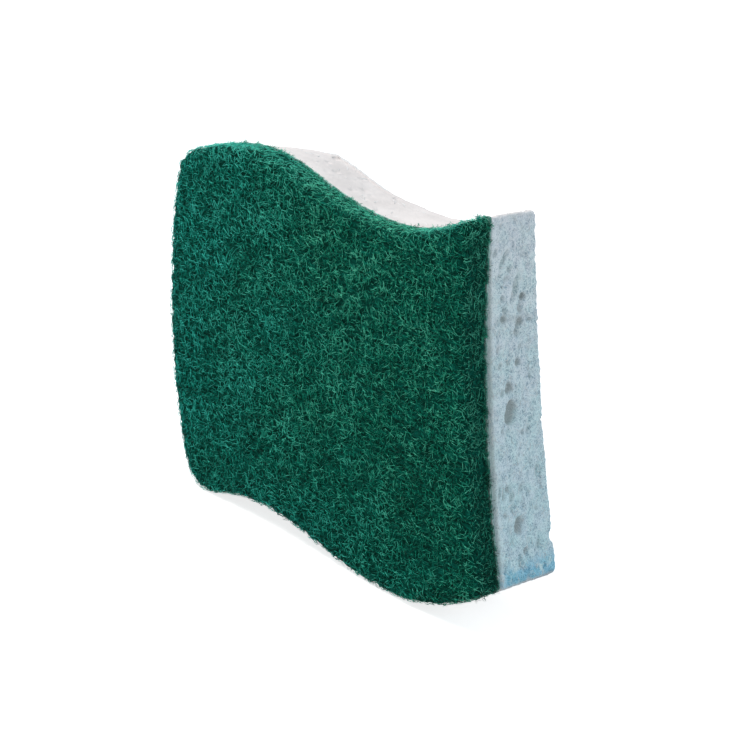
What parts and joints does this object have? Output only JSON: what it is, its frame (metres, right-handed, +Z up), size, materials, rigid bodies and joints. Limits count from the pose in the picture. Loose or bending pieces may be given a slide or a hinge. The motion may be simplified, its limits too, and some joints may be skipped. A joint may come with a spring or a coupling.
{
  "type": "cleaning sponge",
  "caption": "Laminated scrub sponge with wavy long edges: a coarse fibre pad bonded to a porous cellulose block.",
  "frame": {"origin": "centre of the bounding box's bottom, on the ground under the standing sponge", "axes": "+X along the length towards the end with the trough, +Y from the scouring pad to the cellulose's open face, +Z up; the sponge stands on its lower wavy edge, leant until that edge touches the ground twice"},
  "size_m": [0.1002, 0.0244, 0.081],
  "materials": {
    "scouring_web": "matte",
    "adhesive": "matte",
    "cellulose": "matte"
  },
  "bodies": {
    "root": {"scouring_pad": "scouring_web", "adhesive_film": "adhesive", "cellulose_sponge": "cellulose"}
  },
  "joints": []
}
